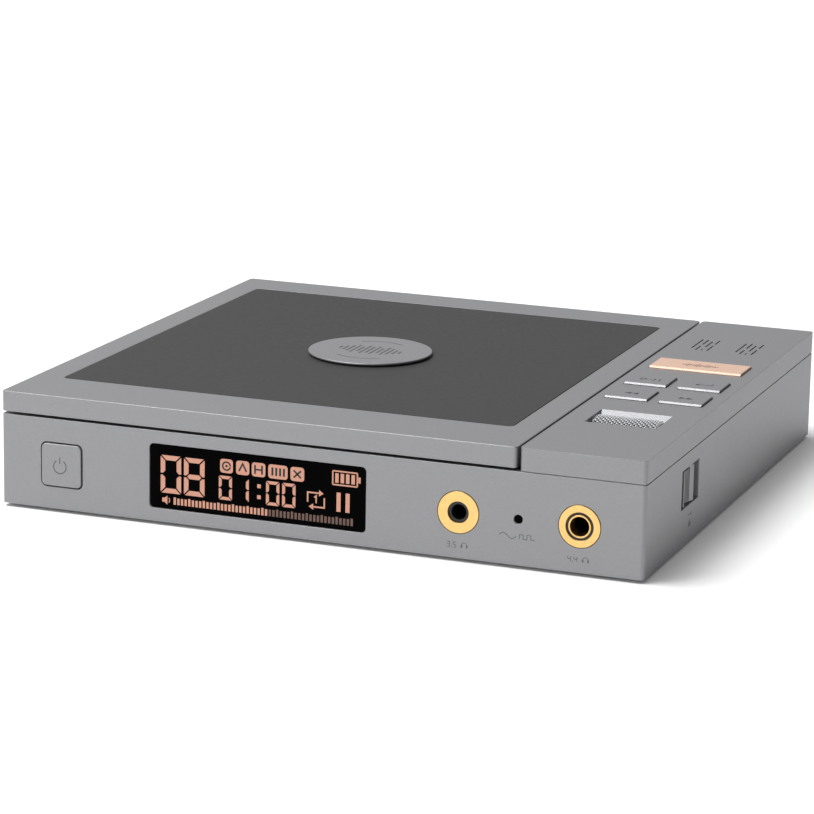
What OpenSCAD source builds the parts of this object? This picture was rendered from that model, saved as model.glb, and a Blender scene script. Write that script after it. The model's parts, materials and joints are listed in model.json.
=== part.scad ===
// Portable CD player with a hinged lid, headphone jacks and a control panel.
// Millimetres. Z is up, the front faces -Y, and the origin is on the table
// under the middle of the case.

/* [Body] */
// Width of the whole player
body_w = 158; // [158:1:162]
// Depth from front to back
body_d = 146.8; // [146.8:0.2:148]
// Height of the closed player, feet included
total_h = 28; // [28:0.1:28.4]
// Thickness of the case walls
wall = 2; // [1.8:0.1:2]
// Radius of the vertical corners
corner_r = 1; // [0.6:0.1:1.4]
// Thickness of the rubber feet
foot_h = 0.8; // [0.6:0.1:0.8]
// Thickness of the bottom plate
plate_t = 1.5; // [1.2:0.1:1.5]
// Height of the top edge of the case
seam_z = 22.5; // [22.5:0.05:22.6]

/* [Lid] */
// Width of the lid
lid_w = 127.8; // [127.6:0.1:127.9]
// Space between lid and case when closed
lid_lift = 0.6; // [0.6:0.05:0.7]
// Space between lid and control panel
lid_gap = 0.7; // [0.6:0.1:0.8]
// Diameter of the medallion on the lid
medallion_d = 30.7; // [28:0.1:34]
// Thickness of the dark panel set into the lid
lid_panel_t = 1.2; // [1:0.1:1.3]

/* [Disc bay] */
// Where the disc's axis is, sideways from the middle
spin_x = -15; // [-15:0.1:-14.8]
// Radius of the disc well
well_r = 61; // [60.6:0.1:61.2]
// Height of the floor of the disc well
well_z = 18; // [17.9:0.1:18]
// Height at which the disc rests on the hub
disc_z = 20.2; // [20.2:0.1:20.6]

/* [Controls] */
// Side of a square key, sideways
key_w = 10.3; // [9:0.1:10.3]
// Side of a square key, front to back
key_d = 10; // [9:0.1:10.2]
// How far a key stands above the panel
key_proud = 0.5; // [0.3:0.1:0.6]
// Width of the bevel round the top of a key
key_bevel = 0.4; // [0.2:0.05:0.45]
// How far a key travels
key_travel = 0.5; // [0.3:0.1:0.5]
// Radius of the volume wheel
wheel_r = 7; // [6.6:0.1:7]

/* [Jacks] */
// Bore radius of the 3.5 mm jack
jack35_r = 1.8; // [1.76:0.01:1.84]
// Bore radius of the 4.4 mm jack
jack44_r = 2.25; // [2.22:0.01:2.28]
// Outer radius of the gold rings
ring_r = 4.85; // [4.4:0.05:5.2]
// Height of the jacks' axes
jack_z = 11.5; // [11.2:0.1:11.8]

/* [Gears] */
// Tooth module of the sled drive
gear_m = 0.5; // [0.5:0.01:0.5]
// Teeth on the motor pinion
pinion_n = 10; // [10:1:10]
// Teeth on the large reduction gear
large_n = 36; // [36:1:36]
// Teeth on the small reduction gear
small_n = 12; // [12:1:12]

/* [Hidden] */
$fn = 64;
// edges of the case
xl = -body_w/2;
xr = body_w/2;
yf = -body_d/2;
yb = body_d/2;
in_x = xr - wall;
in_y = yb - wall;
// levels
plate_z = foot_h + plate_t;
lid_z = seam_z + lid_lift;
deck_z = seam_z - 0.2;
deck_under_z = well_z - 1;
panel_top_t = 1.6;
panel_under_z = total_h - panel_top_t;
// lid and control panel
lid_xr = xl + lid_w;
panel_x = lid_xr + lid_gap;
lid_cx = (xl + lid_xr)/2;
glass_x = [lid_cx - 56.75, lid_cx + 56.75];
glass_y = [yf + 17.7, yb - 12.1];
pin_y = yb - 1.5;
pin_z = lid_z + 1.5;
pin_r = 0.75;
hinge_x = [-62, 32];
hinge_w = 10;
run = 0.05;              // running clearance of shafts
// corner posts of the case, and where screws go
post_x = xr - 5.5;
post_y = yb - 6.9;
side_post_y = 4;
deck_lug_x = 45.5;
bottom_screws_at = [[-post_x, -post_y], [post_x, -post_y], [-post_x, post_y], [post_x, post_y],
                    [-post_x, side_post_y], [post_x, side_post_y]];
deck_screws_at = [[-post_x, -post_y], [deck_lug_x, -post_y], [-post_x, post_y], [deck_lug_x, post_y]];
panel_screws_at = [[post_x, 58], [post_x, -57], [54.5, yb - 5], [54.5, yf + 5]];
damper_at = [[-42.3, -15.5], [25.5, -15.5], [-42.3, 65], [25.5, 65]];
board_screws_at = [[36, -48], [70, -48], [36, 54], [70, 54]];
magnet_at = [[-62, -67.5], [32, -67.5]];
stop_at = [[-72.5, -58], [44.5, -58]];
// front controls
power_x = -63.4;
power_w = 10.2;
window_x = [-40.8, 13.05];
window_z = [4, 19.4];
jack35_x = 35.3;
jack44_x = 63.85;
light_x = 49.5;
// keys: middle x, middle y, width, depth
wide_key = [63.95, 20.3, 23.1, 10.2];
key_col = [57.15, 70.45];
key_row = [-14.6, 0.95];
key_gap = 0.25;          // free space round a key
key_side_bevel = 0.12;   // bevel of a key's left and right edges
// volume wheel
wheel_x = [55.9, 71.7];
wheel_y = -38.9;
wheel_z = total_h + 0.6 - wheel_r;
slot_x = [55, 72.1];
slot_y = [-44.3, -31];
scoop_run = 2.1;         // how far the sloping rear wall of the slot reaches forward
// hold switch
hold_y = [-45.2, -31.3];
hold_z = [9.7, 18.9];
hold_cap_y = [-43.1, -35.3];
hold_stem_z = 14.3;
// usb port
usb_x = 42;
usb_z = 8.95;
// disc mechanism
mech_z = 8;
mech_top = 9.5;
mech_x = [-46.5, 30.5];
mech_y = [-20.5, 70];
rod_x = [spin_x - 20, spin_x + 20];
rod_z = 12.4;
rod_r = 1.5;
lens_y = 28;
rack_x = 14;             // pitch line of the rack
small_r = gear_m*small_n/2;
large_r = gear_m*large_n/2;
pinion_r = gear_m*pinion_n/2;
gear_x = rack_x + small_r;
gear_y = 30;
pinion_angle = -60;
pinion_x = gear_x + (large_r + pinion_r)*cos(pinion_angle);
pinion_y = gear_y + (large_r + pinion_r)*sin(pinion_angle);
hub_r = 14.9;
boss_r = 7.4;
// gear teeth
pressure = 20;
tooth_play = 0.14;       // share of the tooth's width left free
addendum = 0.9;          // tooth height above the pitch line, in modules
dedendum = 1.25;         // tooth depth below it, in modules

// ---- shared shapes ----

// rounded rectangle, centred
module round_rect(w, d, r) {
  square([w - 2*r, d], center = true);
  square([w, d - 2*r], center = true);
  for (sx = [-1, 1], sy = [-1, 1]) translate([sx*(w/2 - r), sy*(d/2 - r)]) circle(r);
}

// upright slab with rounded vertical edges
module slab(x, y, z, r) {
  translate([(x[0] + x[1])/2, (y[0] + y[1])/2, z[0]])
    linear_extrude(z[1] - z[0]) round_rect(x[1] - x[0], y[1] - y[0], r);
}

// slab standing across Y, with its edges along Y rounded
module wall_slab(x, y, z, r) {
  translate([(x[0] + x[1])/2, y[1], (z[0] + z[1])/2]) rotate([90, 0, 0])
    linear_extrude(y[1] - y[0]) round_rect(x[1] - x[0], z[1] - z[0], r);
}

module block(x, y, z) {
  translate([x[0], y[0], z[0]]) cube([x[1] - x[0], y[1] - y[0], z[1] - z[0]]);
}

// upright cylinder
module rod(x, y, z, r) {
  translate([x, y, z[0]]) cylinder(h = z[1] - z[0], r = r);
}

// cylinder along X
module rod_x_axis(x, y, z, r) {
  translate([x[0], y, z]) rotate([0, 90, 0]) cylinder(h = x[1] - x[0], r = r);
}

// cylinder along Y
module rod_y_axis(x, y, z, r) {
  translate([x, y[1], z]) rotate([90, 0, 0]) cylinder(h = y[1] - y[0], r = r);
}

// pan-head screw standing on its tip, with a cross recess
module screw(x, y, tip_z, head_z, head_h, r, head_r) {
  difference() {
    union() {
      rod(x, y, [tip_z, head_z + 0.01], r);
      rod(x, y, [head_z, head_z + head_h], head_r);
    }
    for (a = [0, 90]) translate([x, y, head_z + head_h]) rotate(a)
      cube([head_r*1.2, 0.4, head_h*1.1], center = true);
  }
}

// the same screw driven from below
module screw_up(x, y, tip_z, head_z, head_h, r, head_r) {
  translate([0, 0, 2*head_z]) mirror([0, 0, 1])
    screw(x, y, 2*head_z - tip_z, head_z, head_h, r, head_r);
}

// ---- case ----

// screw post joined to the nearer side wall
module case_post(p, z) {
  rod(p[0], p[1], z, 3);
  block(p[0] < 0 ? [-in_x - 0.1, p[0]] : [p[0], in_x + 0.1], [p[1] - 2, p[1] + 2], z);
}

// lug standing out from the front or rear wall
module case_lug(x, y, w, z) {
  block([x - w/2, x + w/2], y < 0 ? [-in_y - 0.1, y + 3] : [y - 3, in_y + 0.1], z);
}

module main_case() {
  color("#9a999d") difference() {
    union() {
      difference() {
        slab([xl, xr], [yf, yb], [foot_h, seam_z], corner_r);
        block([-in_x, in_x], [-in_y, in_y], [foot_h - 1, seam_z + 1]);
        block([xl + 1, xr - 1], [yf + 1, yb - 1], [foot_h - 1, plate_z]);
      }
      for (p = bottom_screws_at) case_post(p, [plate_z, p[0] < 0 ? deck_under_z : 15]);
      for (s = [-1, 1]) case_lug(deck_lug_x, s*post_y, 5.2, [13, deck_under_z]);
      for (s = [0, 1]) case_post_lug(panel_screws_at[s]);
      for (s = [2, 3]) case_lug(panel_screws_at[s][0], panel_screws_at[s][1], 6, [19.5, seam_z]);
    }
    for (p = bottom_screws_at) rod(p[0], p[1], [plate_z - 1, 8], 1);
    for (p = deck_screws_at) rod(p[0], p[1], [12, deck_under_z + 1], 1);
    for (p = panel_screws_at) rod(p[0], p[1], [19, seam_z + 1], 1.1);
    // front: power button, display, jacks and status light
    wall_slab([power_x - power_w/2 - 0.25, power_x + power_w/2 + 0.25], [yf - 1, -in_y + 1],
              [jack_z - power_w/2 - 0.25, jack_z + power_w/2 + 0.25], 1.4);
    wall_slab(window_x, [yf - 1, -in_y + 1], window_z, 1.1);
    for (x = [jack35_x, jack44_x]) rod_y_axis(x, [yf - 1, -in_y + 1], jack_z, ring_r + 0.1);
    rod_y_axis(light_x, [yf - 1, -in_y + 1], jack_z, 1.05);
    // right side: pocket and slot of the hold switch
    block([xr - 1.5, xr + 1], hold_y, hold_z);
    block([in_x - 0.1, xr], [hold_cap_y[0] + 1.9, hold_cap_y[1] + 0.1],
          [hold_stem_z - 1.2, hold_stem_z + 1.2]);
    // rear: charging port
    wall_slab([usb_x - 4.8, usb_x + 4.8], [in_y - 1, yb + 1], [usb_z - 1.9, usb_z + 1.9], 1.85);
  }
}

module case_post_lug(p) {
  block([p[0] - 3, in_x + 0.1], [p[1] - 3, p[1] + 3], [19.5, seam_z]);
}

module bottom_plate() {
  color("#7f7f83") difference() {
    union() {
      slab([xl + 1.05, xr - 1.05], [yf + 1.05, yb - 1.05], [foot_h, plate_z], 0.6);
      for (p = board_screws_at) rod(p[0], p[1], [plate_z - 0.1, 6], 2.2);
      for (p = damper_at) rod(p[0], p[1], [plate_z - 0.1, 6.5], 3.2);
    }
    for (p = bottom_screws_at) {
      rod(p[0], p[1], [foot_h - 1, plate_z + 1], 1.1);
      rod(p[0], p[1], [foot_h - 1, foot_h + 0.9], 2.1);
    }
    for (p = board_screws_at) rod(p[0], p[1], [3, 7], 0.8);
    for (p = damper_at) rod(p[0], p[1], [3, 7], 1);
  }
}

module bottom_screws() {
  color("#55565a") for (p = bottom_screws_at)
    screw_up(p[0], p[1], 7.6, foot_h + 0.9, 0.8, 0.98, 1.95);
}

module rubber_feet() {
  color("#1c1c1e") for (s = [-1, 1], f = [-1, 1])
    slab([s*67.9 - 9, s*67.9 + 9], [f*65.1 - 5, f*65.1 + 5], [0, foot_h], 1.5);
}

module disc_deck() {
  color("#2a2b2d") difference() {
    slab([-in_x + 0.1, panel_x + 1.5], [-in_y + 0.1, in_y - 0.1], [deck_under_z, deck_z], 0.6);
    rod(spin_x, 0, [well_z, deck_z + 1], well_r, $fn = 128);
    rod(spin_x, 0, [deck_under_z - 1, well_z + 1], hub_r + 1.1);
    slab([spin_x - 6, spin_x + 6], [10, 62.5], [deck_under_z - 1, 20.5], 0.8);
    for (p = deck_screws_at) {
      rod(p[0], p[1], [deck_under_z - 1, deck_z + 1], 1.1);
      rod(p[0], p[1], [deck_z - 1.5, deck_z + 1], 2.2);
    }
    for (p = magnet_at) rod(p[0], p[1], [deck_z - 2.2, deck_z + 1], 2.55);
    for (p = stop_at) rod(p[0], p[1], [deck_z - 0.8, deck_z + 1], 1.65);
    // room for the display module and the power button
    block([-70.3, 15.2], [-in_y - 1, -67.2], [deck_under_z - 1, 21]);
  }
}

module deck_screws() {
  color("#3a3b3e") for (p = deck_screws_at)
    screw(p[0], p[1], 12.4, deck_z - 1.5, 1.1, 0.98, 2);
}

module catch_magnets() {
  color("#b8b9bb") for (p = magnet_at) rod(p[0], p[1], [deck_z - 2.15, deck_z - 0.1], 2.5);
}

module lid_stops() {
  color("#1b1b1c") for (p = stop_at) rod(p[0], p[1], [deck_z - 0.75, lid_z - 0.04], 1.6);
}

// ---- control panel and keys ----

// one thin slot along Y through the panel
module vent_slot(x, y0, y1) {
  block([x - 0.2, x + 0.2], [y0, y1], [panel_under_z - 1, total_h + 1]);
}

// four staggered columns of slots
module vent_group(x) {
  pitch = 1.45;
  vent_slot(x - 1.5*pitch, 41.2, 52);
  vent_slot(x - 0.5*pitch, 39.4, 44.4);
  vent_slot(x - 0.5*pitch, 46.2, 52.4);
  vent_slot(x + 0.5*pitch, 39.5, 41);
  vent_slot(x + 0.5*pitch, 43.3, 50.6);
  vent_slot(x + 1.5*pitch, 39.6, 46);
  vent_slot(x + 1.5*pitch, 47.4, 52.4);
}

module control_panel() {
  peg_at = [[56, 10.9], [73, 10.9], [64.5, 27.7]];
  color("#9fa0a2") difference() {
    union() {
      difference() {
        slab([panel_x, xr], [yf, yb], [seam_z, total_h], corner_r);
        block([panel_x + 1.2, xr - 1.8], [yf + 1.8, yb - 1.8], [seam_z - 1, panel_under_z]);
      }
      for (p = panel_screws_at) rod(p[0], p[1], [seam_z, panel_under_z + 0.1], 2.4);
      for (p = peg_at) rod(p[0], p[1], [23.6, panel_under_z + 0.1], 1.2);
      // finger scoop behind the volume wheel
      translate([slot_x[0] - 1, 0, 0]) rotate([90, 0, 90])
        linear_extrude(slot_x[1] - slot_x[0] + 2)
          polygon([[slot_y[1] - scoop_run, 25.9], [slot_y[1] + 0.5, 25.9],
                   [slot_y[1] + 0.5, panel_under_z + 0.1], [slot_y[1] - scoop_run, panel_under_z + 0.1]]);
    }
    for (p = panel_screws_at) rod(p[0], p[1], [seam_z - 1, 26.2], 0.95);
    for (x = key_col, y = key_row)
      slab([x - key_w/2 - key_gap, x + key_w/2 + key_gap], [y - key_d/2 - key_gap, y + key_d/2 + key_gap],
           [panel_under_z - 1, total_h + 1], 0.3);
    slab([wide_key[0] - wide_key[2]/2 - key_gap, wide_key[0] + wide_key[2]/2 + key_gap],
         [wide_key[1] - wide_key[3]/2 - key_gap, wide_key[1] + wide_key[3]/2 + key_gap],
         [panel_under_z - 1, total_h + 1], 0.3);
    // wheel slot, its rear wall sloping down to the wheel
    block(slot_x, [slot_y[0], slot_y[1] - scoop_run], [seam_z, total_h + 1]);
    translate([slot_x[0], 0, 0]) rotate([90, 0, 90]) linear_extrude(slot_x[1] - slot_x[0])
      polygon([[slot_y[1] - scoop_run - 0.1, 26.5], [slot_y[1], total_h], [slot_y[1], total_h + 1],
               [slot_y[1] - scoop_run - 0.1, total_h + 1]]);
    for (x = [57.9, 69.3]) vent_group(x);
    // fine groove along the seam with the case
    difference() {
      block([panel_x - 1, xr + 1], [yf - 1, yb + 1], [seam_z - 1, seam_z + 0.2]);
      block([panel_x - 2, xr - 0.35], [yf + 0.35, yb - 0.35], [seam_z - 2, seam_z + 1]);
    }
  }
}

module panel_screws() {
  color("#55565a") for (p = panel_screws_at)
    screw_up(p[0], p[1], 25.9, 19.5, 1.1, 0.93, 2);
}

// outline of a key seen from one side, its top edges bevelled
module bevelled_side(w, z, b) {
  polygon([[-w/2, z[0]], [w/2, z[0]], [w/2, z[1] - b], [w/2 - b, z[1]],
           [-w/2 + b, z[1]], [-w/2, z[1] - b]]);
}

// key cap with a flange that holds it under the panel and a stem over its switch
module key_cap(x, y, w, d) {
  cap_z = [panel_under_z - 0.5, total_h + key_proud];
  translate([x, y, 0]) intersection() {
    translate([0, d/2, 0]) rotate([90, 0, 0]) linear_extrude(d) bevelled_side(w, cap_z, key_side_bevel);
    translate([-w/2, 0, 0]) rotate([90, 0, 90]) linear_extrude(w) bevelled_side(d, cap_z, key_bevel);
  }
  slab([x - w/2 - 0.8, x + w/2 + 0.8], [y - d/2 - 0.8, y + d/2 + 0.8],
       [panel_under_z - 0.9, panel_under_z - 0.1], 0.5);
  rod(x, y, [25.2, panel_under_z - 0.5], 1.5);
}

module square_key(x, y) {
  color("#a9aaac") key_cap(x, y, key_w, key_d);
}

module key_play() { square_key(key_col[0], key_row[1]); }
module key_return() { square_key(key_col[1], key_row[1]); }
module key_back() { square_key(key_col[0], key_row[0]); }
module key_next() { square_key(key_col[1], key_row[0]); }

module key_wide() {
  color("#efcaae") key_cap(wide_key[0], wide_key[1], wide_key[2], wide_key[3]);
}

module key_board() {
  color("#1f4d38") block([52.2, 76.4], [-23, 29.2], [22.8, 23.6]);
}

module key_switches() {
  color("#c9c9c6") for (x = key_col, y = key_row) tact_switch(x, y);
  color("#c9c9c6") tact_switch(wide_key[0], wide_key[1]);
}

module tact_switch(x, y) {
  slab([x - 2.5, x + 2.5], [y - 2.5, y + 2.5], [23.6, 24.3], 0.4);
  rod(x, y, [24.2, 24.6], 1.3);
}

module volume_encoder() {
  color("#3c3d40") {
    block([51.7, 54.7], [wheel_y - 5.8, wheel_y + 5.8], [7.2, 25.4]);
    rod_x_axis([54.6, wheel_x[0] - 0.2], wheel_y, wheel_z, 2);
    rod_x_axis([54.6, wheel_x[1] - 0.3], wheel_y, wheel_z, 1);
  }
}

module volume_wheel() {
  color("#c3c5c9") difference() {
    rod_x_axis(wheel_x, wheel_y, wheel_z, wheel_r);
    rod_x_axis([wheel_x[0] - 1, wheel_x[1] + 1], wheel_y, wheel_z, 1 + run);
    rod_x_axis([wheel_x[1] - 1.2, wheel_x[1] + 1], wheel_y, wheel_z, wheel_r - 1.4);
  }
}

// ---- front controls and sockets ----

module power_button() {
  color("#a3a2a6") {
    wall_slab([power_x - power_w/2, power_x + power_w/2], [yf - 0.35, -in_y + 0.4],
              [jack_z - power_w/2, jack_z + power_w/2], 1.2);
    wall_slab([power_x - 6.1, power_x + 6.1], [-in_y + 0.1, -in_y + 0.9], [jack_z - 6.1, jack_z + 6.1], 1.4);
    rod_y_axis(power_x, [-in_y + 0.8, -in_y + 1.8], jack_z, 2);
  }
}

module power_switch() {
  color("#c9c9c6") {
    wall_slab([power_x - 3, power_x + 3], [-in_y + 2.6, -in_y + 3.9], [jack_z - 3, jack_z + 3], 0.5);
    rod_y_axis(power_x, [-in_y + 2.3, -in_y + 2.7], jack_z, 1.6);
  }
}

module display_window() {
  color("#08080a") {
    wall_slab([window_x[0] + 0.1, window_x[1] - 0.1], [yf + 0.4, -in_y + 0.2],
              [window_z[0] + 0.1, window_z[1] - 0.1], 1);
    wall_slab([window_x[0] - 1.4, window_x[1] + 1.4], [-in_y + 0.05, -in_y + 0.7],
              [window_z[0] - 1.2, window_z[1] + 1.2], 1.4);
  }
}

module display_module() {
  color("#d8d8d4") block([window_x[0] - 1, window_x[1] + 0.9], [-in_y + 0.7, -in_y + 3.5], [3.2, 20.4]);
}

module front_board() {
  color("#1f4d38") block([-70, 16], [-in_y + 3.9, -in_y + 5.1], [3.2, 16.8]);
}

// gold ring round a jack, level with the front
module jack_ring(x, inner_r) {
  difference() {
    rod_y_axis(x, [yf - 0.05, -in_y + 0.4], jack_z, ring_r);
    rod_y_axis(x, [yf - 1, -in_y + 1], jack_z, inner_r);
  }
}

module jack_ring_35() { color("#f2d186") jack_ring(jack35_x, 2.5); }
module jack_ring_44() { color("#f2d186") jack_ring(jack44_x, 3.25); }

module jack_sleeve_44() {
  color("#f2d186") difference() {
    rod_y_axis(jack44_x, [yf, -in_y + 1.4], jack_z, jack44_r + 0.4);
    rod_y_axis(jack44_x, [yf - 1, -in_y + 2], jack_z, jack44_r);
  }
}

module jack_body_35() {
  color("#141416") difference() {
    union() {
      rod_y_axis(jack35_x, [yf + 0.5, -in_y + 0.5], jack_z, 2.48);
      block([jack35_x - 6, jack35_x + 6], [-in_y + 0.4, -in_y + 14.4], [7.2, 15.8]);
    }
    rod_y_axis(jack35_x, [yf - 1, yf + 15], jack_z, jack35_r);
  }
}

module jack_body_44() {
  color("#141416") difference() {
    union() {
      rod_y_axis(jack44_x, [yf + 0.3, -in_y + 0.5], jack_z, 3.22);
      block([jack44_x - 6.1, jack44_x + 6.1], [-in_y + 0.4, -in_y + 19.4], [7.2, 15.8]);
    }
    rod_y_axis(jack44_x, [yf - 1, -in_y + 1.4], jack_z, jack44_r + 0.4);
    rod_y_axis(jack44_x, [yf - 1, yf + 19.4], jack_z, jack44_r);
  }
}

module light_pipe() {
  color("#101012") {
    rod_y_axis(light_x, [yf + 0.6, -in_y + 0.4], jack_z, 1);
    rod_y_axis(light_x, [-in_y + 0.05, -in_y + 4], jack_z, 1.6);
    block([light_x - 1.5, light_x + 1.5], [-in_y + 4, -in_y + 6], [7.2, jack_z + 1.6]);
  }
}

// ---- hold switch ----

module hold_slider() {
  mid_y = (hold_cap_y[0] + hold_cap_y[1])/2;
  stem_y = [mid_y - 1.5, mid_y + 1.5];
  color("#a7a8ab") {
    // cap with a V across its face
    translate([0, 0, hold_z[0] + 0.25]) linear_extrude(hold_z[1] - hold_z[0] - 0.5)
      polygon([[xr - 1.4, hold_cap_y[0]], [xr - 0.1, hold_cap_y[0]], [xr - 0.1, hold_cap_y[0] + 0.4],
               [xr - 1.15, mid_y], [xr - 0.1, hold_cap_y[1] - 0.4], [xr - 0.1, hold_cap_y[1]],
               [xr - 1.4, hold_cap_y[1]]]);
    block([in_x - 1.8, xr - 1.3], stem_y, [hold_stem_z - 1, hold_stem_z + 1]);
  }
}

module hold_switch_body() {
  color("#28292b") difference() {
    block([in_x - 2.6, in_x], [hold_y[0] - 0.8, hold_y[1] + 0.8], [hold_stem_z - 2.8, hold_stem_z + 2.8]);
    block([in_x - 2.1, in_x + 1], [hold_cap_y[0] + 1.9, hold_cap_y[1] + 0.1],
          [hold_stem_z - 1.3, hold_stem_z + 1.3]);
  }
}

// ---- electronics ----

module main_board() {
  color("#1d4a36") difference() {
    union() {
      block([32, 76.2], [-70.6, 60], [6, 7.2]);
      block([28.5, 32.1], [-70.6, -54], [6, 7.2]);
      block([32, 56], [59.9, 71], [6, 7.2]);
    }
    rod(post_x, -post_y, [5, 8], 3.6);
    rod(post_x, side_post_y, [5, 8], 3.6);
    block([post_x, in_x], [-post_y - 3.6, -post_y + 3.6], [5, 8]);
    block([post_x, in_x], [side_post_y - 3.6, side_post_y + 3.6], [5, 8]);
    for (p = board_screws_at) rod(p[0], p[1], [5, 8], 1.1);
  }
}

module chip(x, y, w, d, h) {
  block([x - w/2, x + w/2], [y - d/2, y + d/2], [7.2, 7.2 + h]);
}

module board_chips() {
  color("#161618") {
    chip(46, -24, 10, 10, 1.1);
    for (x = [40, 56]) chip(x, 4, 7, 7, 1);
    for (x = [40, 48, 56, 64]) chip(x, 22, 5, 4, 1.4);
    chip(62, -22, 6, 8, 1.2);
    chip(46, 44, 8, 8, 1.2);
  }
  color("#a9aaad") chip(64, 42, 14, 12, 2.2);
}

module board_capacitors() {
  color("#8f8a80") {
    for (i = [0:4]) rod(38 + 7*i, 12.5, [7.2, 12.6], 2.4);
    for (i = [0:1]) rod(38 + 7*i, -39, [7.2, 12.6], 2.4);
    for (i = [0:2]) rod(38 + 7*i, 32, [7.2, 11], 2);
  }
}

module board_screws() {
  color("#b9babd") for (p = board_screws_at) screw(p[0], p[1], 3.4, 7.2, 1, 0.78, 1.7);
}

module battery_pack() {
  color("#2c4a6b") slab([-69, 20], [-63.5, -23.5], [2.4, 9.8], 1.5);
}

module usb_port() {
  color("#b5b7ba") difference() {
    wall_slab([usb_x - 4.6, usb_x + 4.6], [in_y - 5.4, yb - 0.1], [usb_z - 1.75, usb_z + 1.75], 1.7);
    wall_slab([usb_x - 4.2, usb_x + 4.2], [in_y - 4.6, yb + 1], [usb_z - 1.35, usb_z + 1.35], 1.3);
  }
  color("#1a1a1c") block([usb_x - 3.3, usb_x + 3.3], [in_y - 4.7, yb - 1], [usb_z - 0.35, usb_z + 0.35]);
}

// ---- disc mechanism ----

module mech_chassis() {
  color("#8d9094") difference() {
    union() {
      slab(mech_x, mech_y, [mech_z, mech_top], 3);
      for (x = rod_x, y = [10.5, 67]) block([x - 3, x + 3], [y - 1.2, y + 1.2], [mech_top - 0.1, 15]);
    }
    for (x = rod_x) rod_y_axis(x, [9.8, 67.7], rod_z, rod_r + 0.01);
    for (p = damper_at) rod(p[0], p[1], [mech_z - 1, mech_top + 1], 3);
    rod(spin_x, 0, [mech_z - 1, mech_top + 1], 2.65);
    rod(gear_x, gear_y, [mech_z - 1, mech_top + 1], 1);
    rod(pinion_x, pinion_y, [mech_z - 1, mech_top + 1], 1.5);
  }
}

// rubber bush with a groove round its waist
module damper_grommets() {
  color("#26272a") for (p = damper_at) difference() {
    union() {
      rod(p[0], p[1], [6.5, mech_z], 4.2);
      rod(p[0], p[1], [mech_z - 0.1, mech_top + 0.1], 2.98);
      rod(p[0], p[1], [mech_top, 11], 4.2);
    }
    rod(p[0], p[1], [6, 12], 1.65);
  }
}

module mech_screws() {
  color("#b9babd") for (p = damper_at) {
    screw(p[0], p[1], 3.4, 11, 1.2, 0.98, 3);
    rod(p[0], p[1], [6.5, 11.05], 1.6);
  }
}

module motor_stator() {
  color("#b27a4c") difference() {
    union() {
      rod(spin_x, 0, [mech_top, 10.2], 10.2);
      rod(spin_x, 0, [mech_z, 14.2], 2.6);
      for (i = [0:8]) translate([spin_x, 0, 0]) rotate(40*i) {
        block([2.4, 9.6], [-0.7, 0.7], [11, 13]);
        block([4, 8.4], [-1.2, 1.2], [10.8, 13.2]);
        block([9, 10.1], [-2.8, 2.8], [11, 13]);
      }
    }
    rod(spin_x, 0, [mech_z - 1, 15], 1 + run);
  }
}

module motor_rotor() {
  color("#c4c6c9") {
    difference() {
      rod(spin_x, 0, [10.8, 15.2], 11.8);
      rod(spin_x, 0, [10, 14.5], 11);
    }
    rod(spin_x, 0, [mech_z + 0.4, 21.5], 1);
  }
}

// platter with the boss that centres the disc
module disc_hub() {
  color("#26272a") difference() {
    union() {
      rod(spin_x, 0, [15.2, 18.5], 5);
      rod(spin_x, 0, [18.4, disc_z], hub_r);
      rod(spin_x, 0, [disc_z - 0.1, 22.2], boss_r);
      translate([spin_x, 0, 22.2]) cylinder(h = 0.8, r1 = boss_r, r2 = boss_r - 0.9);
    }
    rod(spin_x, 0, [15, 21.5], 1);
    for (i = [0:2]) translate([spin_x, 0, 0]) rotate(120*i + 90)
      rod_x_axis([4.6, 9], 0, disc_z + 1.3, 1.04);
  }
}

module chuck_balls() {
  color("#d4d6d8") for (i = [0:2]) translate([spin_x, 0, 0]) rotate(120*i + 90)
    translate([boss_r - 0.8, 0, disc_z + 1.3]) sphere(r = 1);
}

module guide_rods() {
  color("#c9cbce") for (x = rod_x) rod_y_axis(x, [9.9, 67.6], rod_z, rod_r);
}

module pickup_sled() {
  color("#3b3d40") difference() {
    union() {
      block([rod_x[0] + 4, rod_x[1] - 4], [lens_y - 11, lens_y + 7], [10.6, 15.6]);
      for (x = rod_x) block([x - 2.3, x + 2.3], [lens_y - 11, lens_y + 7], [rod_z - 2.2, rod_z + 2.4]);
      block([rod_x[0] + 2.2, rod_x[1] - 2.2], [lens_y - 8, lens_y + 4], [10.6, 14.6]);
      for (s = [-1, 1]) block([spin_x - 4, spin_x + 4], [lens_y + 5.6*s - 0.9, lens_y + 5.6*s + 0.9],
                              [15.5, 16.7]);
    }
    for (x = rod_x) rod_y_axis(x, [lens_y - 12, lens_y + 8], rod_z, rod_r + run);
  }
}

// ---- gears: involute teeth, thinned a little for backlash ----

function involute(a) = tan(a)*180/PI - a;
function polar(r, a) = [r*cos(a), r*sin(a)];
// half the angle that a tooth takes up at radius r
function half_tooth(n, r) = let(base = gear_m*n/2*cos(pressure))
  90/n*(1 - tooth_play) + involute(pressure) - involute(acos(min(1, base/r)));

function gear_outline(n) =
  let(pitch_r = gear_m*n/2,
      root_r = pitch_r - dedendum*gear_m,
      first_r = max(root_r, pitch_r*cos(pressure)),
      tip_r = pitch_r + addendum*gear_m,
      steps = [for (k = [0:4]) first_r + (tip_r - first_r)*k/4])
  [for (i = [0:n - 1]) let(mid = 360*i/n) each concat(
    [polar(root_r, mid - half_tooth(n, first_r))],
    [for (r = steps) polar(r, mid - half_tooth(n, r))],
    [for (k = [4:-1:0]) polar(steps[k], mid + half_tooth(n, steps[k]))],
    [polar(root_r, mid + half_tooth(n, first_r))])];

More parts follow.
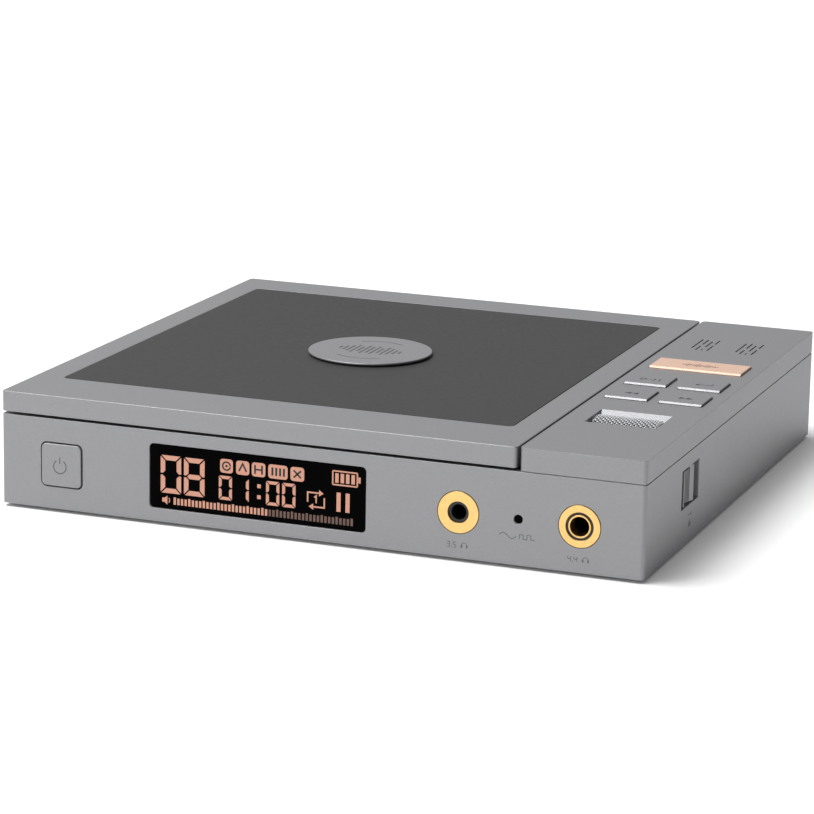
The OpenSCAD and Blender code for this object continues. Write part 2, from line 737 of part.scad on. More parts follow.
module gear(x, y, z, n, turn) {
  translate([x, y, z[0]]) rotate(turn) linear_extrude(z[1] - z[0]) polygon(gear_outline(n));
}

module sled_rack() {
  pitch = PI*gear_m;
  root_x = rack_x - dedendum*gear_m;
  tip_x = rack_x + addendum*gear_m;
  half_pitch_w = pitch/4*(1 - tooth_play);
  half_root_w = half_pitch_w + dedendum*gear_m*tan(pressure);
  half_tip_w = half_pitch_w - addendum*gear_m*tan(pressure);
  color("#d9d7cf") {
    block([rod_x[1] + 2.3, 9.8], [lens_y - 10, lens_y + 6], [rod_z, rod_z + 2]);
    block([9.6, root_x], [gear_y - 33, gear_y + 7], [rod_z, rod_z + 2]);
    for (i = [-20:3]) translate([0, gear_y + (i + 0.5)*pitch, rod_z]) linear_extrude(2)
      polygon([[root_x - 0.1, -half_root_w], [root_x, -half_root_w], [tip_x, -half_tip_w],
               [tip_x, half_tip_w], [root_x, half_root_w], [root_x - 0.1, half_root_w]]);
  }
}

module reduction_gear() {
  color("#e8e6de") difference() {
    union() {
      gear(gear_x, gear_y, [10.2, 11.8], large_n, pinion_angle);
      gear(gear_x, gear_y, [11.7, 14.8], small_n, 180);
    }
    rod(gear_x, gear_y, [9, 16], 1 + run);
  }
}

module gear_post() {
  color("#b9babd") {
    rod(gear_x, gear_y, [mech_z, 15.2], 1);
    rod(gear_x, gear_y, [mech_top, 10], 2);
  }
}

module sled_motor() {
  color("#b4b6b9") difference() {
    union() {
      rod(pinion_x, pinion_y, [2.9, mech_z], 7.5);
      rod(pinion_x, pinion_y, [mech_z - 0.1, mech_z + 1], 1.5);
    }
    rod(pinion_x, pinion_y, [3.6, mech_z + 2], 0.5 + run);
  }
}

module motor_pinion() {
  color("#d7b56b") {
    gear(pinion_x, pinion_y, [10.1, 11.9], pinion_n, pinion_angle + 180 + 180/pinion_n);
    rod(pinion_x, pinion_y, [4, 12.1], 0.5);
  }
}

module lens_holder() {
  color("#1d1e20") {
    slab([spin_x - 4, spin_x + 4], [lens_y - 4, lens_y + 4], [16.3, 18.3], 0.8);
    translate([spin_x, lens_y, 18.2]) cylinder(h = 0.5, r1 = 2.9, r2 = 2.7);
  }
  color("#4a6a8f") intersection() {
    translate([spin_x, lens_y, 16.6]) sphere(r = 2.9);
    rod(spin_x, lens_y, [18.6, 19.6], 2.3);
  }
}

// ---- lid and hinges ----

module hinge_brackets() {
  color("#b9babd") for (x = hinge_x) difference() {
    union() {
      block([x - hinge_w/2 + 0.4, x + hinge_w/2 - 0.4], [pin_y - 9, pin_y + 0.9], [seam_z, seam_z + 0.4]);
      block([x - hinge_w/2 + 0.4, x + hinge_w/2 - 0.4], [pin_y - 1.4, pin_y + 1.4], [seam_z, pin_z]);
      rod_x_axis([x - hinge_w/2 + 0.4, x + hinge_w/2 - 0.4], pin_y, pin_z, 1.4);
    }
    rod_x_axis([x - hinge_w, x + hinge_w], pin_y, pin_z, pin_r);
  }
}

module hinge_pins() {
  color("#d0d2d4") for (x = hinge_x)
    rod_x_axis([x - hinge_w/2 - 3.5, x + hinge_w/2 + 3.5], pin_y, pin_z, pin_r);
}

module lid_frame() {
  color("#9fa0a2") difference() {
    slab([xl, lid_xr], [yf, yb], [lid_z, total_h], corner_r);
    // rear lower edge, rounded about the hinge pins
    difference() {
      block([xl - 1, lid_xr + 1], [pin_y, yb + 1], [lid_z - 1, pin_z]);
      rod_x_axis([xl - 2, lid_xr + 2], pin_y, pin_z, yb - pin_y);
    }
    slab(glass_x, glass_y, [total_h - lid_panel_t, total_h + 1], 1.5);
    slab([xl + 3.5, lid_xr - 3.5], [yf + 9.4, yb - 7.4], [lid_z - 1, lid_z + 2.1], 2);
    rod(spin_x, 0, [lid_z, total_h + 1], 4);
    for (p = magnet_at) rod(p[0], p[1], [lid_z - 1, lid_z + 1.7], 2.55);
    for (x = hinge_x) {
      block([x - hinge_w/2, x + hinge_w/2], [pin_y - 1.8, yb + 1], [lid_z - 1, pin_z + 1.75]);
      rod_x_axis([x - hinge_w/2 - 3.8, x + hinge_w/2 + 3.8], pin_y, pin_z, pin_r + run);
    }
  }
}

module lid_panel() {
  color("#565756") difference() {
    slab([glass_x[0] + 0.12, glass_x[1] - 0.12], [glass_y[0] + 0.12, glass_y[1] - 0.12],
         [total_h - lid_panel_t, total_h], 1.4);
    rod(spin_x, 0, [total_h - 3, total_h + 1], 4);
  }
}

module medallion() {
  color("#a9aaac") {
    rod(spin_x, 0, [total_h + 0.4, total_h + 1], medallion_d/2, $fn = 128);
    rod(spin_x, 0, [total_h, total_h + 0.41], medallion_d/2 - 0.7, $fn = 128);
    rod(spin_x, 0, [lid_z + 2.1, total_h + 0.1], 3.9);
  }
}

module lid_liner() {
  color("#2b2c2e") slab([xl + 3.6, lid_xr - 3.6], [yf + 9.5, yb - 7.5], [lid_z + 1.2, lid_z + 2.1], 1.9);
}

module lid_magnets() {
  color("#b8b9bb") for (p = magnet_at) rod(p[0], p[1], [lid_z + 0.1, lid_z + 1.7], 2.5);
}

main_case();
bottom_plate();
bottom_screws();
rubber_feet();
disc_deck();
deck_screws();
control_panel();
panel_screws();
display_window();
display_module();
front_board();
jack_ring_35();
jack_body_35();
jack_ring_44();
jack_sleeve_44();
jack_body_44();
light_pipe();
power_switch();
key_board();
key_switches();
volume_encoder();
hold_switch_body();
main_board();
board_chips();
board_capacitors();
board_screws();
battery_pack();
usb_port();
mech_chassis();
damper_grommets();
mech_screws();
motor_stator();
guide_rods();
sled_motor();
gear_post();
hinge_brackets();
hinge_pins();
catch_magnets();
lid_stops();
lid_frame();
lid_panel();
medallion();
lid_liner();
lid_magnets();
power_button();
key_play();
key_return();
key_back();
key_next();
key_wide();
volume_wheel();
hold_slider();
motor_rotor();
disc_hub();
chuck_balls();
pickup_sled();
sled_rack();
lens_holder();
reduction_gear();
motor_pinion();
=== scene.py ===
"""Looks of the portable CD player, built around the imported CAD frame.

All lengths are metres; MM turns millimetres into metres. Places come from the frame's node boxes.
"""

import json
import math

import bpy
import bmesh
from mathutils import Matrix, Vector


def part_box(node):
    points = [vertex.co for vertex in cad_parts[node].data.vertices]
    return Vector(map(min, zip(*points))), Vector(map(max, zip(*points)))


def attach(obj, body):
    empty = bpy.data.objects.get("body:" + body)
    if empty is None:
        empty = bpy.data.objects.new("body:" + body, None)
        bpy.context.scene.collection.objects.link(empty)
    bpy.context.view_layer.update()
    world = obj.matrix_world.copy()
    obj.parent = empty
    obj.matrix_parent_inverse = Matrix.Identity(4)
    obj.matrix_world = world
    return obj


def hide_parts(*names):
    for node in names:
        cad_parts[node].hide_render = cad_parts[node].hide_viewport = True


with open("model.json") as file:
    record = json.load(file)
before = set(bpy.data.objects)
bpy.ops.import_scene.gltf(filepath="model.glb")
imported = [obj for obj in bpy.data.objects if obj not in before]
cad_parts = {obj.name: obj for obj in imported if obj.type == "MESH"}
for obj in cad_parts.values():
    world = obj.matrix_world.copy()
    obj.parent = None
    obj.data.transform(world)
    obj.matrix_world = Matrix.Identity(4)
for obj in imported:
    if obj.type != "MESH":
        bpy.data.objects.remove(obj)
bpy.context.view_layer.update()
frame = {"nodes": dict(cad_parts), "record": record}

MM = 0.001
TAU = 2 * math.pi


# ---- materials ----

class Shader:
    """A Principled material with short ways to add procedural detail."""

    def __init__(self, name, rough, metallic=0.0, **sockets):
        self.mat = bpy.data.materials.new(name)
        self.mat.use_nodes = True
        self.nodes = self.mat.node_tree.nodes
        self.links = self.mat.node_tree.links
        self.bsdf = self.nodes["Principled BSDF"]
        self.bsdf.inputs["Roughness"].default_value = rough
        self.bsdf.inputs["Metallic"].default_value = metallic
        for socket, value in sockets.items():
            self.bsdf.inputs[socket.replace("_", " ")].default_value = value
        self.coord = self.nodes.new("ShaderNodeTexCoord").outputs["Object"]
        self.normal = None

    def noise(self, scale, detail=2.0, stretch=None):
        node = self.nodes.new("ShaderNodeTexNoise")
        node.inputs["Scale"].default_value = scale
        node.inputs["Detail"].default_value = detail
        node.inputs["Roughness"].default_value = 0.5
        source = self.coord
        if stretch:
            mapping = self.nodes.new("ShaderNodeMapping")
            mapping.inputs["Scale"].default_value = stretch
            self.links.new(source, mapping.inputs["Vector"])
            source = mapping.outputs["Vector"]
        self.links.new(source, node.inputs["Vector"])
        return node.outputs["Fac"]

    def ramp(self, value, stops):
        """A value turned into colours, each stop being a place and a colour."""
        node = self.nodes.new("ShaderNodeValToRGB")
        ramp = node.color_ramp
        while len(ramp.elements) < len(stops):
            ramp.elements.new(0.5)
        for element, (place, color) in zip(ramp.elements, stops):
            element.position = place
            element.color = (*color, 1.0)
        self.links.new(value, node.inputs["Fac"])
        return node.outputs["Color"]

    def colour(self, output):
        self.links.new(output, self.bsdf.inputs["Base Color"])

    def speckle(self, color, spread, scale, detail=2.0):
        """Colour that varies by a share `spread` either way, in grains of 1/scale metres."""
        dark = tuple(c * (1 - spread) for c in color)
        light = tuple(min(1, c * (1 + spread)) for c in color)
        self.colour(self.ramp(self.noise(scale, detail), [(0.3, dark), (0.7, light)]))

    def rough(self, low, high, scale):
        """Roughness that wanders between two values."""
        node = self.nodes.new("ShaderNodeMapRange")
        node.inputs["To Min"].default_value = low
        node.inputs["To Max"].default_value = high
        self.links.new(self.noise(scale, 3.0), node.inputs["Value"])
        self.links.new(node.outputs["Result"], self.bsdf.inputs["Roughness"])

    def edge(self, radius):
        """Rounds the look of every sharp edge by a small radius."""
        node = self.nodes.new("ShaderNodeBevel")
        node.samples = 4
        node.inputs["Radius"].default_value = radius
        self.use_normal(node)

    def use_normal(self, node):
        self.normal = node.outputs["Normal"]
        self.links.new(self.normal, self.bsdf.inputs["Normal"])

    def bump(self, value, strength, distance):
        """Adds relief on top of the edge rounding or relief that is already there."""
        node = self.nodes.new("ShaderNodeBump")
        node.inputs["Strength"].default_value = strength
        node.inputs["Distance"].default_value = distance
        self.links.new(value, node.inputs["Height"])
        if self.normal:
            self.links.new(self.normal, node.inputs["Normal"])
        self.use_normal(node)


def blasted(name, color, rough=0.48, metallic=0.8, grain=0.055):
    """Bead-blasted, anodised aluminium: a fine even grain with a faint cloudiness."""
    s = Shader(name, rough, metallic)
    s.edge(0.12 * MM)
    s.speckle(color, grain, 5200, 3.0)
    s.rough(rough - 0.05, rough + 0.06, 1400)
    s.bump(s.noise(4200), 0.28, 0.02 * MM)
    return s.mat


def turned(name, color, rough, metallic=1.0):
    """Machined or plated metal with fine tool marks."""
    s = Shader(name, rough, metallic)
    s.speckle(color, 0.05, 900)
    s.rough(rough - 0.06, rough + 0.08, 2600)
    s.bump(s.noise(2400, stretch=(1, 1, 6)), 0.12, 0.01 * MM)
    return s.mat


def moulded(name, color, rough=0.5, spread=0.08, texture=2200, depth=0.35, **sockets):
    """Moulded plastic or rubber with a fine spark-eroded texture."""
    s = Shader(name, rough, **sockets)
    s.speckle(color, spread, 700, 3.0)
    s.rough(rough - 0.06, rough + 0.08, 900)
    s.bump(s.noise(texture), depth, 0.02 * MM)
    return s.mat


def polished(name, color, rough, **sockets):
    """Smooth lacquer, glass or screen with the slightest haze."""
    s = Shader(name, rough, **sockets)
    s.speckle(color, 0.04, 300)
    s.rough(rough * 0.8, rough * 1.3, 160)
    s.bump(s.noise(60, 1.0), 0.03, 0.05 * MM)
    return s.mat


def printed(name, color, rough=0.55):
    """Printed or laser-marked ink with a slightly uneven tone."""
    s = Shader(name, rough)
    s.speckle(color, 0.12, 3800)
    s.bump(s.noise(5200, 1.0), 0.1, 0.01 * MM)
    return s.mat


def glowing(name, color, strength):
    """Lit display segments with a faint cell pattern."""
    s = Shader(name, 0.4)
    s.speckle(color, 0.05, 2600, 1.0)
    s.bsdf.inputs["Emission Color"].default_value = (*color, 1.0)
    s.bsdf.inputs["Emission Strength"].default_value = strength
    return s.mat


def circuit_board(name):
    """Green solder mask over copper tracks, with pads where the tracks meet."""
    s = Shader(name, 0.35)
    brick = s.nodes.new("ShaderNodeTexBrick")
    brick.inputs["Scale"].default_value = 420
    brick.inputs["Mortar Size"].default_value = 0.06
    brick.inputs["Color1"].default_value = (0.010, 0.075, 0.040, 1)
    brick.inputs["Color2"].default_value = (0.014, 0.090, 0.048, 1)
    brick.inputs["Mortar"].default_value = (0.030, 0.150, 0.080, 1)
    s.links.new(s.coord, brick.inputs["Vector"])
    s.colour(brick.outputs["Color"])
    s.bump(brick.outputs["Fac"], 0.3, 0.04 * MM)
    s.bump(s.noise(900, 1.0), 0.08, 0.02 * MM)
    return s.mat


# every material slot of the record, and the extra finishes of the added pieces
MATERIALS = {
    "case_metal": blasted("case_metal", (0.285, 0.286, 0.296)),
    "plate_metal": blasted("plate_metal", (0.20, 0.20, 0.21)),
    "dark_steel": turned("dark_steel", (0.06, 0.06, 0.065), 0.4),
    "steel": turned("steel", (0.55, 0.55, 0.56), 0.3),
    "rubber": moulded("rubber", (0.018, 0.018, 0.019), 0.8, depth=0.6),
    "bay_plastic": moulded("bay_plastic", (0.030, 0.030, 0.032), 0.55),
    "display_black": polished("display_black", (0.0010, 0.0010, 0.0012), 0.16,
                              Specular_IOR_Level=0.012),
    "pale_plastic": moulded("pale_plastic", (0.62, 0.60, 0.56), 0.5),
    "board": circuit_board("board"),
    "gold": turned("gold", (0.84, 0.54, 0.20), 0.32),
    "black_plastic": moulded("black_plastic", (0.010, 0.010, 0.011), 0.4),
    "capacitor_metal": turned("capacitor_metal", (0.48, 0.46, 0.43), 0.35),
    "battery_wrap": moulded("battery_wrap", (0.030, 0.070, 0.150), 0.35, depth=0.15),
    "connector_steel": turned("connector_steel", (0.5, 0.5, 0.51), 0.32),
    "magnet_nickel": turned("magnet_nickel", (0.65, 0.64, 0.62), 0.12),
    "lid_dark": moulded("lid_dark", (0.045, 0.046, 0.045), 0.6, 0.03, 3000, 0.06,
                        Specular_IOR_Level=0.12),
    "copper_key": blasted("copper_key", (0.68, 0.46, 0.345), 0.5, 0.35, 0.03),
    "wheel_metal": turned("wheel_metal", (0.92, 0.93, 0.95), 0.36),
    # painted shade for the deepest crossings of the knurl grooves on the silver wheel
    "knurl_painted_shade": turned("knurl_painted_shade", (0.03, 0.03, 0.033), 0.5, 0.6),
    "copper_wire": turned("copper_wire", (0.55, 0.22, 0.09), 0.35),
    "lens_black": moulded("lens_black", (0.012, 0.012, 0.014), 0.4),
    "brass": turned("brass", (0.72, 0.50, 0.20), 0.3),
    "ink": printed("ink", (0.028, 0.028, 0.030)),
    "pale_ink": printed("pale_ink", (0.085, 0.085, 0.09)),
    "key_ink": printed("key_ink", (0.20, 0.105, 0.065)),
    "lit": glowing("lit", (0.53, 0.255, 0.175), 0.12),
    "dim": glowing("dim", (0.105, 0.056, 0.041), 0.15),
    "screen_ink": printed("screen_ink", (0.004, 0.004, 0.004), 0.3),
    "engraving": printed("engraving", (0.075, 0.075, 0.08), 0.6),
}


def paint_frame():
    """Gives every CAD node the material of its slot in the record."""
    slots = {p["node"]: p["material_slot"] for p in frame["record"]["subparts"]}
    for name, node in frame["nodes"].items():
        material = MATERIALS[slots[name]]
        for holder in node.material_slots:
            holder.link = "OBJECT"
            holder.material = material
        if not node.material_slots:
            node.data.materials.append(material)


paint_frame()


# ---- flat outlines, in millimetres ----

def rect(x0, y0, x1, y1):
    return [(x0, y0), (x1, y0), (x1, y1), (x0, y1)]


def arc(cx, cy, r, start, end, steps):
    """Points of an arc, with its start and end in degrees."""
    return [(cx + r * math.cos(math.radians(start + (end - start) * i / steps)),
             cy + r * math.sin(math.radians(start + (end - start) * i / steps)))
            for i in range(steps + 1)]


def round_rect(x0, y0, x1, y1, r, steps=4):
    return (arc(x1 - r, y0 + r, r, -90, 0, steps) + arc(x1 - r, y1 - r, r, 0, 90, steps)
            + arc(x0 + r, y1 - r, r, 90, 180, steps) + arc(x0 + r, y0 + r, r, 180, 270, steps))


def disc(cx, cy, r, steps):
    return arc(cx, cy, r, 0, 360, steps)[:-1]


def arc_band(cx, cy, inner, outer, start, end, steps=20):
    return arc(cx, cy, outer, start, end, steps) + arc(cx, cy, inner, end, start, steps)


def stroke(points, width):
    """Outline of a polyline with mitred corners."""
    left, right = [], []
    count = len(points)
    for i, (x, y) in enumerate(points):
        before = Vector(points[max(i - 1, 0)])
        after = Vector(points[min(i + 1, count - 1)])
        here = Vector((x, y))
        into = (here - before).normalized() if i else (after - here).normalized()
        out = (after - here).normalized() if i < count - 1 else into
        normal = Vector((-(into.y + out.y), into.x + out.x)).normalized()
        reach = width / 2 / max(0.4, normal.dot(Vector((-into.y, into.x))))
        left.append(tuple(here + normal * reach))
        right.append(tuple(here - normal * reach))
    return left + right[::-1]


def loop_band(points, width):
    """A closed line, as one stroke per side."""
    return [stroke([points[i], points[(i + 1) % len(points)]], width) for i in range(len(points))]


def moved(outlines, dx, dy):
    return [[(x + dx, y + dy) for x, y in outline] for outline in outlines]


SEGMENTS = {"0": "abcdef", "1": "bc", "3": "abcdg", "4": "bcfg", "5": "acdfg", "8": "abcdefg"}


def seven_segment(character, x0, y0, x1, y1, t, gap):
    """Outlines of the lit segments of one digit, each `t` wide and `gap` away from the next."""
    mid = (y0 + y1) / 2
    shapes = {
        "a": [(x0 + gap, y1), (x0 + t + gap, y1 - t), (x1 - t - gap, y1 - t), (x1 - gap, y1)],
        "d": [(x0 + gap, y0), (x1 - gap, y0), (x1 - t - gap, y0 + t), (x0 + t + gap, y0 + t)],
        "g": [(x0 + t / 2 + gap, mid), (x0 + t + gap, mid - t / 2), (x1 - t - gap, mid - t / 2),
              (x1 - t / 2 - gap, mid), (x1 - t - gap, mid + t / 2), (x0 + t + gap, mid + t / 2)],
        "f": [(x0, y1 - gap), (x0, mid + gap), (x0 + t / 2, mid + gap), (x0 + t, mid + t / 2 + gap),
              (x0 + t, y1 - t - gap)],
    }
    shapes["e"] = [(x, 2 * mid - y) for x, y in shapes["f"]]
    shapes["b"] = [(x0 + x1 - x, y) for x, y in shapes["f"]]
    shapes["c"] = [(x, 2 * mid - y) for x, y in shapes["b"]]
    return [shapes[s] for s in SEGMENTS[character]]


# ---- building pieces ----

MARK_RISE = 0.012  # how far printed marks stand up, in millimetres


# A place turns outline coordinates u and v and a height h into x, y and z on one face of the object.

def on_front(y):
    return lambda u, v, h: (u, y - h, v)


def on_top(z):
    return lambda u, v, h: (u, v, z + h)


def on_right(x):
    return lambda u, v, h: (x + h, u, v)


def add_piece(name, mesh_builder, material, body):
    """A mesh object from a finished bmesh, riding on a body."""
    mesh = bpy.data.meshes.new(name)
    bmesh.ops.recalc_face_normals(mesh_builder, faces=mesh_builder.faces[:])
    mesh_builder.to_mesh(mesh)
    mesh_builder.free()
    mesh.materials.append(MATERIALS[material])
    piece = bpy.data.objects.new(name, mesh)
    bpy.context.collection.objects.link(piece)
    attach(piece, body)
    return piece


def inlay(name, body, material, outlines, place, rise=0.02, sink=0.02):
    """Thin closed prisms that stand `rise` above a face and `sink` into it, all in millimetres."""
    bm = bmesh.new()
    for outline in outlines:
        low = [bm.verts.new(Vector(place(x, y, -sink)) * MM) for x, y in outline]
        high = [bm.verts.new(Vector(place(x, y, rise)) * MM) for x, y in outline]
        count = len(outline)
        bm.faces.new(low[::-1])
        bm.faces.new(high)
        for i in range(count):
            j = (i + 1) % count
            bm.faces.new((low[i], low[j], high[j], high[i]))
    return add_piece(name, bm, material, body)


def soften(node_name, width):
    """Breaks the sharp edges of a CAD node with modifiers, without touching its mesh data."""
    node = frame["nodes"][node_name]
    weld = node.modifiers.new("weld", "WELD")
    weld.merge_threshold = 0.002 * MM
    flat = node.modifiers.new("flat", "DECIMATE")
    flat.decimate_type = "DISSOLVE"
    flat.angle_limit = math.radians(0.3)
    bevel = node.modifiers.new("bevel", "BEVEL")
    bevel.width = width * MM
    bevel.segments = 2
    bevel.limit_method = "ANGLE"
    bevel.angle_limit = math.radians(35)
    bevel.use_clamp_overlap = False
    normals = node.modifiers.new("normals", "WEIGHTED_NORMAL")
    normals.weight = 100


def face_mm(node, axis, side):
    """One coordinate of a node's box in millimetres: side 0 is the low corner, 1 the high one."""
    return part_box(node)[side][axis] / MM


def centre_mm(node, axis):
    return (face_mm(node, axis, 0) + face_mm(node, axis, 1)) / 2


# ---- rounded edges ----

# bevel widths in millimetres
for node_name, width in {
    "main_case": 0.16, "lid_frame": 0.22, "medallion": 0.22, "power_button": 0.28,
    "jack_ring_35": 0.1, "jack_ring_44": 0.1, "jack_sleeve_44": 0.08,
    "hold_slider": 0.12, "lid_panel": 0.06, "rubber_feet": 0.15, "disc_hub": 0.15,
    "display_window": 0.08,
}.items():
    soften(node_name, width)


# ---- knurled volume wheel ----

def knurled_wheel():
    """The wheel with a diamond knurl: rows of small pyramids round its rim."""
    low, high = (corner / MM for corner in map(Vector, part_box("volume_wheel")))
    radius = (high.z - low.z) / 2
    axis_y, axis_z = (low.y + high.y) / 2, (low.z + high.z) / 2
    depth = 0.36        # of the knurl
    margin = 0.4        # plain rim at each end
    around, along = 36, 13  # pyramids round the wheel and across it
    per_cell = 4        # points to a pyramid, either way
    count = around * per_cell
    rows = along * per_cell
    bore = 1.05
    dish, dish_depth = radius - 1.4, 1.2
    chamfer = 0.3
    groove = radius - depth
    knurl_length = high.x - low.x - 2 * margin
    bm = bmesh.new()

    def ring(x, radii):
        return [bm.verts.new(Vector((x, axis_y + r * math.cos(TAU * i / count),
                                     axis_z + r * math.sin(TAU * i / count))) * MM)
                for i, r in enumerate(radii)]

    def rim(vertex):
        return round(math.hypot(vertex.co.y / MM - axis_y, vertex.co.z / MM - axis_z), 3)

    def join(ring_a, ring_b):
        """Faces between two rings, cut along the line that keeps a ridge or groove whole."""
        for i in range(count):
            a, b, c, d = ring_a[i], ring_a[(i + 1) % count], ring_b[(i + 1) % count], ring_b[i]
            if abs(rim(a) - rim(c)) < abs(rim(b) - rim(d)):
                bm.faces.new((a, b, c))
                bm.faces.new((a, c, d))
            elif abs(rim(a) - rim(c)) > abs(rim(b) - rim(d)):
                bm.faces.new((a, b, d))
                bm.faces.new((b, c, d))
            else:
                bm.faces.new((a, b, c, d))

    def grooves(u, v):
        """How far a point is from the middle between the grooves of either hand, 0 to 1 each."""
        return abs(((u + v) % 1) * 2 - 1), abs(((u - v) % 1) * 2 - 1)

    def knurl(i, row):
        return radius - depth * min(1, max(grooves(i / per_cell, row / per_cell)) * 1.15)

    rings = [ring(low.x, [bore] * count), ring(low.x, [groove - chamfer] * count),
             ring(low.x + chamfer, [groove] * count)]
    for row in range(rows + 1):
        x = low.x + margin + knurl_length * row / rows
        rings.append(ring(x, [knurl(i, row) for i in range(count)]))
    rings += [ring(high.x - chamfer, [groove] * count), ring(high.x, [groove - chamfer] * count),
              ring(high.x, [dish] * count), ring(high.x - dish_depth, [dish - 0.15] * count),
              ring(high.x - dish_depth, [bore] * count)]
    for ring_a, ring_b in zip(rings, rings[1:]):
        join(ring_a, ring_b)
    join(rings[-1], rings[0])
    # faces near the crossings of the grooves take the darker second material: painted shade where the
    # grooves cross
    for face in bm.faces:
        middle = face.calc_center_median() / MM
        u = math.atan2(middle.z - axis_z, middle.y - axis_y) / TAU * around
        v = (middle.x - low.x - margin) / knurl_length * along
        reach = math.hypot(middle.y - axis_y, middle.z - axis_z)
        dark = 0 < v < along and reach > groove - 0.1 and sum(grooves(u, v)) > 1.4
        face.material_index = int(dark)
    piece = add_piece("knurled_wheel", bm, "wheel_metal", "volume_wheel")
    piece.data.materials.append(MATERIALS["knurl_painted_shade"])
    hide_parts("volume_wheel")


knurled_wheel()


# ---- lit display ----

def display_graphics():
    """Track number, time, mode badges, battery and level bar, as a segment display shows them."""
    glass = on_front(face_mm("display_window", 1, 0))
    left = face_mm("display_window", 0, 0) + 1.4
    base = centre_mm("display_window", 2) - 7.7
    lit, dim, cutouts = [], [], []

    def at(outlines, dy=0.0):
        return moved(outlines, left, base + dy)

    # track number
    for x, character in ((2.7, "0"), (8.6, "8")):
        lit.extend(at(seven_segment(character, x, 3.8, x + 5.2, 12.8, 1.15, 0.24)))
    # playing time
    for x, character in ((17.4, "0"), (21.6, "1"), (29.2, "0"), (33.2, "0")):
        lit.extend(at(seven_segment(character, x, 3.8, x + 3.3, 9.5, 0.72, 0.16)))
    for y in (5.4, 8.0):
        lit.extend(at([rect(27.0, y - 0.45, 27.9, y + 0.45)]))
    # mode badges with a plain sign cut into each
    badge_drop = -0.28
    for x0, x1 in ((17.7, 20.9), (21.7, 25.0), (25.6, 29.0), (29.7, 34.5), (35.2, 38.6)):
        lit.extend(at([round_rect(x0, 10.5, x1, 13.8, 0.7)], badge_drop))
    cutouts.extend(at([arc_band(19.3, 12.15, 0.75, 1.15, 0, 350), disc(19.3, 12.15, 0.32, 12)],
                      badge_drop))
    cutouts.extend(at([stroke([(22.4, 11.3), (23.35, 13.1), (24.3, 11.3)], 0.42)], badge_drop))
    cutouts.extend(at([rect(26.2, 11.1, 26.65, 13.2), rect(27.95, 11.1, 28.4, 13.2),
                       rect(26.6, 11.95, 28.0, 12.35)], badge_drop))
    cutouts.extend(at([rect(30.5 + 0.95 * i, 11.2, 31.0 + 0.95 * i, 13.1) for i in range(4)],
                      badge_drop))
    cutouts.extend(at([stroke([(36.0, 13.0), (37.8, 11.3)], 0.42),
                       stroke([(36.0, 11.3), (37.8, 13.0)], 0.42)], badge_drop))
    # battery
    lit.extend(at(loop_band([(45.6, 10.5), (51.6, 10.5), (51.6, 13.7), (45.6, 13.7)], 0.34)))
    lit.extend(at([rect(51.85, 11.4, 52.4, 12.8)]))
    lit.extend(at([rect(46.2 + 1.32 * i, 11.0, 47.05 + 1.32 * i, 13.2) for i in range(4)]))
    # repeat loop with a 1 inside, and pause bars
    lit.extend(at([stroke([(39.5, 5.9), (39.5, 8.2), (42.4, 8.2)], 0.36),
                   [(42.3, 7.45), (43.4, 8.2), (42.3, 8.95)],
                   stroke([(43.6, 7.2), (43.6, 4.9), (40.8, 4.9)], 0.36),
                   [(40.9, 4.15), (39.8, 4.9), (40.9, 5.65)],
                   stroke([(41.1, 7.1), (41.6, 7.5), (41.6, 5.8)], 0.32)], -0.2))
    lit.extend(at([rect(46.6, 4.2, 47.6, 8.7), rect(48.8, 4.2, 49.8, 8.7)]))
    # loudspeaker and level bar
    lit.extend(at([[(3.1, 1.8), (3.7, 1.8), (4.4, 1.2), (4.4, 3.4), (3.7, 2.8), (3.1, 2.8)],
                   stroke([(4.8, 1.7), (5.0, 2.3), (4.8, 2.9)], 0.2)], -0.2))
    ticks, lit_ticks = 49, 26
    pitch, tick_width = 45.0 / ticks, 0.58
    for i in range(ticks):
        tall = 1.55 if i % 4 else 1.75
        tick = at([rect(6.0 + pitch * i, 1.2, 6.0 + pitch * i + tick_width, 1.2 + tall)])
        (lit if i < lit_ticks else dim).extend(tick)
    inlay("display_lit", "case", "lit", lit, glass, rise=0.03)
    inlay("display_dim", "case", "dim", dim, glass, rise=0.03)
    inlay("display_cutouts", "case", "screen_ink", cutouts, glass, rise=0.05)


display_graphics()


# ---- marks on the front, the side and the keys ----

def headphone_sign(x, y):
    """A small headphone outline, 1.5 mm wide."""
    return moved([arc_band(0, 0, 0.58, 0.72, -20, 200, 16),
                  round_rect(-0.82, -0.55, -0.45, 0.12, 0.12, 2),
                  round_rect(0.45, -0.55, 0.82, 0.12, 0.12, 2)], x, y)


def number_sign(characters, x, y):
    """A number such as 3.5, 1.3 mm high, as thin strokes."""
    shapes = []
    for character in characters:
        if character == ".":
            shapes.append(rect(x, y, x + 0.2, y + 0.2))
            x += 0.42
        else:
            shapes.extend(seven_segment(character, x, y, x + 0.8, y + 1.3, 0.15, 0.0))
            x += 1.08
    return shapes


